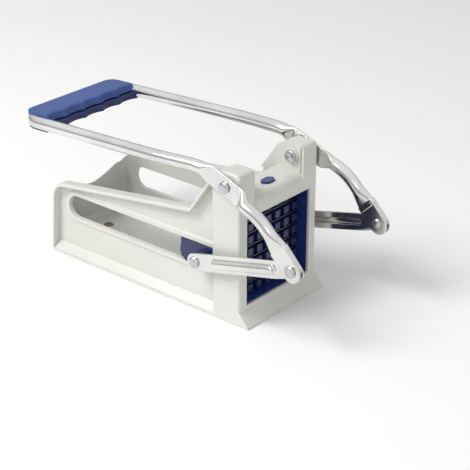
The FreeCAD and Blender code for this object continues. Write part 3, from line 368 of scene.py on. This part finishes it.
def link_arrays(lever, s, side):
    """A strap of sheet with a capsule-shaped bead: out = sqrt(R^2 - d^2), d from the bead's line
    with its ends drawn in 1.7 times."""
    front = np.array([lever.tip_x, lever.tip_z])
    rear = np.array([s.rear_x, s.rear_z])
    run = np.hypot(*(front - rear))
    way = (rear - front) / run
    up = np.array([-way[1], way[0]])
    up = up * np.sign(up[1])
    nose, tail = s.nose / 2, s.wide / 2
    turn = np.linspace(0, np.pi / 2, 14)
    along = np.concatenate([-nose * np.cos(turn), np.linspace(0, run, LINK_ROWS)[1:],
                            run + tail * np.sin(turn[1:])])
    half = nose + (tail - nose) * smoothstep(0.002, 0.018, along)
    half = np.where(along < 0, nose * np.sqrt(np.clip(1 - (along / nose) ** 2, 0, 1)), half)
    half = np.where(along > run, tail * np.sqrt(np.clip(1 - ((along - run) / tail) ** 2, 0, 1)), half)
    half = np.maximum(half, 1e-5)
    angle = 2 * np.pi * np.arange(LINK_COLUMNS) / LINK_COLUMNS
    across = np.cos(angle)[None] * half[:, None]
    flat = power(np.sin(angle), 1 / 6.0)[None] * s.thick / 2
    inset = s.bead / BEAD_INSET
    middle = np.clip(along, s.bead_front + inset, run - s.bead_rear - inset)
    distance = np.hypot(BEAD_DRAW * (along - middle)[:, None], across)
    outside = s.bead / 2
    inside = outside - BEAD_SHEET
    bump_out = np.sqrt(np.clip(outside ** 2 - distance ** 2, 0, None))
    bump_in = np.sqrt(np.clip(inside ** 2 - distance ** 2, 0, None))
    out = flat + np.where(flat > 0, bump_out, bump_in)
    x = front[0] + way[0] * along[:, None] + up[0] * across
    z = front[1] + way[1] * along[:, None] + up[1] * across
    y = side * (lever.arm_y + out)
    return np.stack([x, y, z], axis=-1).reshape(-1, 3), tube_faces(len(along), LINK_COLUMNS)


def shell_arrays(lever, s, half, low, high, front_low, front_high):
    """One grip shell: a rounded block between two heights with four finger hollows in front.

    The front face is f(y) = front - d |sin(pi k (y/h + 1) / 2)|^0.8, with h the upper shell's half
    width, and every section shrinks towards the ends by (1 - |y/w|^14)^(1/14), with w the shell's own.
    The back corners are quarter circles in plan.
    """
    share = np.sin(np.linspace(-np.pi / 2, np.pi / 2, GRIP_ROWS))
    y = half * share
    shrink = np.clip(1 - np.abs(share) ** END_POWER, 0, 1) ** (1 / END_POWER)
    angle = 2 * np.pi * np.arange(GRIP_COLUMNS) / GRIP_COLUMNS
    cx, cz = power(np.cos(angle), SECTION_POWER), power(np.sin(angle), SECTION_POWER)
    wave = np.abs(np.sin(np.pi * s.fingers * (np.clip(y / s.top_half, -1, 1) + 1) / 2))
    hollow = s.finger_depth * wave ** FINGER_POWER * (np.abs(y) < s.top_half)
    level = low + (high - low) * (cz[None] + 1) / 2
    front = front_low + (front_high - front_low) * (cz[None] + 1) / 2 - hollow[:, None]
    bend = s.corner * (2 if half > s.top_half else 1)
    over = np.clip(np.abs(y) - (half - bend), 0, bend)
    back = (s.back + bend - np.sqrt(bend ** 2 - over ** 2))[:, None]
    middle = (back + front) / 2
    reach = (front - back) / 2
    edge = np.minimum(END_INSET, reach)
    x = middle + cx[None] * (reach - edge * (1 - shrink[:, None]))
    z = (low + high) / 2 + (level - (low + high) / 2) * (1 - 0.3 * (1 - shrink[:, None]))
    y = np.repeat(y[:, None], GRIP_COLUMNS, axis=1)
    rise = math.atan2(lever.knee_z - lever.bar_z, lever.knee_x - lever.bar_x)
    dx = x - lever.bar_x
    points = np.stack([lever.bar_x + dx * math.cos(rise) - z * math.sin(rise), y,
                       lever.bar_z + dx * math.sin(rise) + z * math.cos(rise)], axis=-1)
    return points.reshape(-1, 3), tube_faces(GRIP_ROWS, GRIP_COLUMNS)


class Wire:
    """One node output on which arithmetic can be written."""

    def __init__(self, tree, socket):
        self.tree = tree
        self.socket = socket

    def make(self, kind, feeds, out=0, **settings):
        """Create a node, set its options, feed its inputs and hand back one of its outputs."""
        node = self.tree.nodes.new(kind)
        for key, setting in settings.items():
            setattr(node, key, setting)
        for key, feed in feeds.items():
            if isinstance(feed, Wire):
                self.tree.links.new(feed.socket, node.inputs[key])
            else:
                node.inputs[key].default_value = feed
        return Wire(self.tree, node.outputs[out])

    def math(self, operation, other):
        return self.make("ShaderNodeMath", {0: self, 1: other}, operation=operation)

    def __add__(self, other):
        return self.math("ADD", other)

    __radd__ = __add__

    def __mul__(self, other):
        return self.math("MULTIPLY", other)

    def noise(self, scale, detail=3.0, roughness=0.5):
        return self.make("ShaderNodeTexNoise", {"Vector": self, "Scale": scale, "Detail": detail,
                                                "Roughness": roughness})

    def stretched(self, factors):
        return self.make("ShaderNodeVectorMath", {0: self, 1: factors}, operation="MULTIPLY")

    def between(self, low, high):
        """0 below low, 1 above high, smooth between."""
        return self.make("ShaderNodeMapRange", {"Value": self, "From Min": low, "From Max": high},
                         interpolation_type="SMOOTHSTEP")

    def blend(self, first, second):
        """Mix two colours by this factor."""
        return self.make("ShaderNodeMix", {0: self, 6: first, 7: second}, out=2, data_type="RGBA")

    def bump(self, strength, distance, normal=None):
        feeds = {"Height": self, "Strength": strength, "Distance": distance}
        if normal is not None:
            feeds["Normal"] = normal
        return self.make("ShaderNodeBump", feeds)


def colour(red, green, blue):
    """Display values 0-255 as a linear colour."""
    share = np.array([red, green, blue]) / 255.0
    linear = np.where(share <= 0.04045, share / 12.92, ((share + 0.055) / 1.055) ** 2.4)
    return (*linear.tolist(), 1.0)


def start_material(name):
    """An empty procedural material: its shader node and its object coordinates."""
    material = bpy.data.materials.new(f"look_{name}")
    material.use_nodes = True
    tree = material.node_tree
    shader = next(node for node in tree.nodes if node.type == "BSDF_PRINCIPLED")
    place = Wire(tree, tree.nodes.new("ShaderNodeTexCoord").outputs["Object"])
    return material, shader, place


def feed(place, shader, **inputs):
    """Connect varying inputs and set plain ones on the shader itself."""
    names = {"base": "Base Color", "rough": "Roughness", "metal": "Metallic", "normal": "Normal",
             "coat": "Coat Weight", "coat_rough": "Coat Roughness", "specular": "Specular IOR Level"}
    for key, given in inputs.items():
        socket = shader.inputs[names[key]]
        if isinstance(given, Wire):
            place.tree.links.new(given.socket, socket)
        else:
            socket.default_value = given


def moulded(name, light, dark, rough=0.32, bevel=0.0006, grain=0.02, coat=0.15):
    """Moulded plastic: slow tone drift, faint flow marks, fine skin and softened edges."""
    material, shader, place = start_material(name)
    drift = place.noise(14.0, 4.0, 0.55)
    flow = place.stretched((18.0, 55.0, 90.0)).noise(1.0, 3.0, 0.6)
    tone = (drift * 0.7 + flow * 0.3).between(0.32, 0.68)
    base = tone.blend(dark, light)
    specks = place.noise(900.0, 2.0, 0.5)
    edge = place.make("ShaderNodeBevel", {"Radius": bevel}, samples=4)
    skin = (specks * 0.6 + place.noise(260.0, 2.0, 0.5) * 0.4).bump(grain, 0.0004, edge)
    feed(place, shader, base=base, rough=rough - 0.06 + specks * 0.12, normal=skin, coat=coat,
         coat_rough=0.18)
    return material


def plated(name, light, dark, rough=0.14, stretch=(8.0, 60.0, 60.0)):
    """Bright plating over drawn steel: faint lengthwise lines, clouding and small rub marks."""
    material, shader, place = start_material(name)
    cloud = place.noise(22.0, 4.0, 0.6)
    lines = place.stretched(stretch).noise(30.0, 3.0, 0.65)
    rubs = place.stretched((3.0, 9.0, 9.0)).noise(140.0, 2.0, 0.5).between(0.62, 0.78)
    base = cloud.between(0.3, 0.7).blend(dark, light)
    edge = place.make("ShaderNodeBevel", {"Radius": 0.0005}, samples=8)
    feed(place, shader, base=base, metal=1.0, rough=lines * 0.10 + rubs * 0.10 + (rough - 0.05),
         normal=(lines * 0.7 + cloud * 0.3).bump(0.012, 0.0002, edge))
    return material


def ground(name, light, dark, rough=0.34, stretch=(20.0, 500.0, 20.0)):
    """Ground or turned steel with a directional grain."""
    material, shader, place = start_material(name)
    grain = place.stretched(stretch).noise(3.0, 4.0, 0.7)
    spots = place.noise(120.0, 3.0, 0.5)
    base = (grain * 0.6 + spots * 0.4).between(0.3, 0.7).blend(dark, light)
    feed(place, shader, base=base, metal=1.0, rough=grain * 0.2 + (rough - 0.1),
         normal=grain.bump(0.06, 0.0002))
    return material


def rubber(name):
    """Soft rubber with a dusty, slightly uneven skin."""
    material, shader, place = start_material(name)
    dust = place.noise(160.0, 4.0, 0.6)
    base = dust.between(0.35, 0.7).blend(colour(112, 92, 74), colour(146, 124, 102))
    feed(place, shader, base=base, rough=0.5 + dust * 0.2, normal=dust.bump(0.12, 0.0005), specular=0.3)
    return material


def make_materials():
    """Every finish by name, as model.json's node records and the built pieces use them."""
    return {
        "body_plastic": moulded("body_plastic", colour(211, 212, 208), colour(203, 203, 197)),
        # Cassette blue, darkened below its own royal blue: painted shade for the shaded window jamb.
        "cassette_plastic": moulded("cassette_plastic", colour(34, 52, 126), colour(27, 42, 106), 0.3),
        # Pusher navy, darkened past its own blue: painted shade for the dark window interior.
        "pusher_plastic": moulded("pusher_plastic", colour(26, 38, 92), colour(20, 30, 76), 0.3),
        "grip_plastic": moulded("grip_plastic", colour(52, 82, 146), colour(42, 68, 128), 0.46,
                                grain=0.10, coat=0.0),
        # Lower shell: painted shade, a darker copy of the grip's blue taken from its shaded front face.
        "grip_under_plastic": moulded("grip_under_plastic", colour(34, 46, 98), colour(26, 36, 80), 0.46,
                                      grain=0.10, coat=0.0),
        "chromed_steel": plated("chromed_steel", colour(226, 226, 225), colour(208, 208, 207)),
        "fixing_steel": ground("fixing_steel", colour(206, 206, 208), colour(176, 176, 180), 0.3,
                               (60.0, 60.0, 60.0)),
        "washer_steel": ground("washer_steel", colour(170, 170, 172), colour(140, 140, 144), 0.4,
                               (60.0, 60.0, 60.0)),
        # Blade steel darkened: painted shade, so the blades inside the window read dim and shaded.
        "blade_steel": ground("blade_steel", colour(132, 134, 138), colour(96, 98, 102), 0.32),
        "cup_rubber": rubber("cup_rubber"),
    }


def wear(piece, material):
    """Give a piece or a carried-over node one material."""
    piece.data.materials.clear()
    piece.data.materials.append(material)


def dress_nodes():
    """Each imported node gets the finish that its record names."""
    for entry in frame["record"]["subparts"]:
        node = frame["nodes"][entry["node"]]
        for slot_place in node.material_slots:
            slot_place.material = bpy.data.materials[f"look_{entry['material_slot']}"]


def settle(piece, body, slot, *nodes):
    """A finished piece: outward faces, its body, its finish and the nodes that it stands for."""
    tidy_normals(piece)
    wear(piece, bpy.data.materials[f"look_{slot}"])
    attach(piece, body)
    if nodes:
        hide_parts(*nodes)


class CUTTER_OT_materials(bpy.types.Operator):
    """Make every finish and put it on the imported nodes"""
    bl_idname = "cutter.materials"
    bl_label = "Materials"

    def execute(self, context):
        for name, material in make_materials().items():
            if material.name != f"look_{name}":
                raise RuntimeError(f"material {name} exists twice")
        dress_nodes()
        return {"FINISHED"}


class CUTTER_OT_lever(bpy.types.Operator):
    """Build the lever: tube and both forked ends"""
    bl_idname = "cutter.lever"
    bl_label = "Lever"

    def execute(self, context):
        sizes = context.scene.cutter_lever
        parts = [lever_arrays(sizes)] + [fork_arrays(sizes, side) for _, side in SIDES]
        settle(new_piece("lever_skin", *join_arrays(parts)), "lever", "chromed_steel", "lever_tube")
        return {"FINISHED"}


class CUTTER_OT_links(bpy.types.Operator):
    """Build the two side links"""
    bl_idname = "cutter.links"
    bl_label = "Links"

    def execute(self, context):
        for name, side in SIDES:
            piece = new_piece(f"strap_{name}", *link_arrays(context.scene.cutter_lever,
                                                            context.scene.cutter_link, side))
            settle(piece, f"{name}_link", "chromed_steel", f"link_{name}")
        return {"FINISHED"}


class CUTTER_OT_grip(bpy.types.Operator):
    """Build the two grip shells"""
    bl_idname = "cutter.grip"
    bl_label = "Grip"

    def execute(self, context):
        lever, s = context.scene.cutter_lever, context.scene.cutter_grip
        join = s.low_front + (s.top_front - s.low_front) * s.down / (s.up + s.down)
        upper = shell_arrays(lever, s, s.top_half, SHELL_GAP, s.up, join, s.top_front)
        lower = shell_arrays(lever, s, s.low_half, -s.down, -SHELL_GAP, s.low_front, join)
        settle(new_piece("grip_top", *upper), "lever", "grip_plastic", "grip_upper_shell")
        settle(new_piece("grip_bottom", *lower), "lever", "grip_under_plastic", "grip_lower_shell")
        return {"FINISHED"}


class CUTTER_OT_pins(bpy.types.Operator):
    """Build the domed pivot pins and rivets"""
    bl_idname = "cutter.pins"
    bl_label = "Pins"

    def execute(self, context):
        lever, link = context.scene.cutter_lever, context.scene.cutter_link
        s = context.scene.cutter_pins
        radius, inner_radius = s.head / 2, s.inner_head / 2
        plate_face = lever.plate_y + lever.plate_thick / 2 + PLATE_GAP
        fork = lever.fork_thick / 2 + FORK_GAP
        strap = link.thick / 2 + STRAP_GAP
        for name, side in SIDES:
            shank = np.array([[0, PIN_START], [inner_radius - PIN_EDGE, PIN_START],
                              [inner_radius, PIN_START + PIN_EDGE], [inner_radius, EAR_FACE],
                              [PIN_RADIUS, EAR_FACE], [PIN_RADIUS, plate_face]])
            whole = np.concatenate([shank, dome_profile(radius, plate_face, s.dome)])
            piece = new_piece(f"pin_{name}", *lathe(whole, (s.pivot_x, s.pivot_z), side))
            settle(piece, "base", "fixing_steel", f"pivot_pin_{name}")
            for kind, body, reach, spot in (
                    ("front", "lever", fork, (lever.tip_x, lever.tip_z)),
                    ("rear", f"{name}_link", strap, (link.rear_x, link.rear_z))):
                inner = lever.arm_y - reach
                outer = lever.arm_y + reach
                shank = np.array([[0, inner - RIVET_BACK], [radius - 0.0012, inner - RIVET_BACK],
                                  [radius - 0.0005, inner], [RIVET_RADIUS, inner], [RIVET_RADIUS, outer]])
                whole = np.concatenate([shank, dome_profile(radius, outer, s.dome)])
                piece = new_piece(f"rivet_{kind}_{name}", *lathe(whole, spot, side))
                settle(piece, body, "fixing_steel", f"{kind}_rivet_{name}")
        return {"FINISHED"}


def point_lamp(name, place, aim, size, watts, tint):
    """A soft square lamp that looks at a point."""
    data = bpy.data.lights.new(name, "AREA")
    data.shape = "RECTANGLE"
    data.size, data.size_y = size
    data.energy = watts
    data.color = tint
    lamp = bpy.data.objects.new(name, data)
    lamp.location = place
    lamp.rotation_euler = (Vector(aim) - Vector(place)).to_track_quat("-Z", "Y").to_euler()
    bpy.context.collection.objects.link(lamp)


def stage_material():
    """Pale ground that keeps the shadow."""
    material, shader, place = start_material("pale_floor")
    base = place.noise(3.0, 3.0, 0.5).blend(colour(244, 244, 245), colour(248, 248, 248))
    feed(place, shader, base=base, rough=0.6, specular=0.2)
    return material


def white_world():
    """Soft even light: white to the camera, and grey below to white above in a mirror."""
    world = bpy.data.worlds.new("studio")
    bpy.context.scene.world = world
    world.use_nodes = True
    tree = world.node_tree
    background = next(node for node in tree.nodes if node.type == "BACKGROUND")
    rays = tree.nodes.new("ShaderNodeLightPath")
    seen = Wire(tree, rays.outputs["Is Camera Ray"])
    mirrored = Wire(tree, rays.outputs["Is Glossy Ray"])
    through = Wire(tree, rays.outputs["Is Transmission Ray"])
    sky = Wire(tree, tree.nodes.new("ShaderNodeTexCoord").outputs["Generated"])
    height = sky.make("ShaderNodeSeparateXYZ", {0: sky}, out=2).between(0.05, 0.75)
    mirror_level = mirrored * (height * (1 - AMBIENT))
    direct = seen.math("MAXIMUM", through)
    strength = direct.math("MAXIMUM", mirror_level + AMBIENT)
    tree.links.new(strength.socket, background.inputs["Strength"])
    background.inputs["Color"].default_value = (1.0, 1.0, 1.0, 1.0)


class CUTTER_OT_stage(bpy.types.Operator):
    """Floor, lamps, world and the photograph's camera"""
    bl_idname = "cutter.stage"
    bl_label = "Stage"

    def execute(self, context):
        s = context.scene.cutter_stage
        corners = FLOOR_HALF * np.array([[-1, -1, 0], [1, -1, 0], [1, 1, 0], [-1, 1, 0]])
        corners[:, 2] = -FLOOR_DROP
        floor = new_piece("studio_floor", corners, [(0, 1, 2, 3)], smooth=False)
        wear(floor, stage_material())
        point_lamp("key", (-0.55, -1.0, 1.35), (0, 0, 0.05), (0.8, 0.8), 24.0, (1.0, 0.99, 0.97))
        point_lamp("fill", (1.4, -0.9, 0.8), (0, 0, 0.05), (1.2, 1.2), 5.0, (1.0, 0.97, 0.93))
        white_world()
        back = Vector((math.sin(s.azimuth) * math.cos(s.elevation),
                       -math.cos(s.azimuth) * math.cos(s.elevation), math.sin(s.elevation)))
        right = Vector((math.cos(s.azimuth), math.sin(s.azimuth), 0.0))
        up = back.cross(right)
        turned_right = right * math.cos(s.roll) + up * math.sin(s.roll)
        turned_up = up * math.cos(s.roll) - right * math.sin(s.roll)
        data = bpy.data.cameras.new("photo_camera")
        data.sensor_width = 36.0
        data.lens = s.lens
        data.shift_x, data.shift_y = s.shift_x, s.shift_y
        camera = bpy.data.objects.new("photo_camera", data)
        turn = Matrix((turned_right, turned_up, back)).transposed()
        place = Vector((s.aim_x, 0.0, s.aim_z)) + back * s.distance
        camera.matrix_world = Matrix.Translation(place) @ turn.to_4x4()
        context.collection.objects.link(camera)
        context.scene.camera = camera
        context.scene.view_settings.view_transform = "Standard"
        return {"FINISHED"}


class CUTTER_PT_panel(bpy.types.Panel):
    """Buttons for every step, and the sizes they use"""
    bl_label = "Chip cutter"
    bl_idname = "CUTTER_PT_panel"
    bl_space_type = "VIEW_3D"
    bl_region_type = "UI"
    bl_category = "Chip cutter"

    def draw(self, context):
        for operator in OPERATORS:
            self.layout.operator(operator.bl_idname)
        for group in GROUPS:
            box = self.layout.box()
            for name in GROUPS[group].__annotations__:
                box.prop(getattr(context.scene, group), name)


GROUPS = {"cutter_lever": CutterLever, "cutter_link": CutterLink, "cutter_grip": CutterGrip,
          "cutter_pins": CutterPins, "cutter_stage": CutterStage}
OPERATORS = (CUTTER_OT_materials, CUTTER_OT_lever, CUTTER_OT_links, CUTTER_OT_grip, CUTTER_OT_pins,
             CUTTER_OT_stage)


def register():
    for kind in (*GROUPS.values(), *OPERATORS, CUTTER_PT_panel):
        bpy.utils.register_class(kind)
    for name, kind in GROUPS.items():
        setattr(bpy.types.Scene, name, bpy.props.PointerProperty(type=kind))


def unregister():
    for name in GROUPS:
        delattr(bpy.types.Scene, name)
    for kind in reversed((*GROUPS.values(), *OPERATORS, CUTTER_PT_panel)):
        bpy.utils.unregister_class(kind)


def main():
    """Register and build everything in order."""
    register()
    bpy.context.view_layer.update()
    bpy.ops.cutter.materials()
    bpy.ops.cutter.lever()
    bpy.ops.cutter.links()
    bpy.ops.cutter.grip()
    bpy.ops.cutter.pins()
    bpy.ops.cutter.stage()


if __name__ == "__main__":
    main()
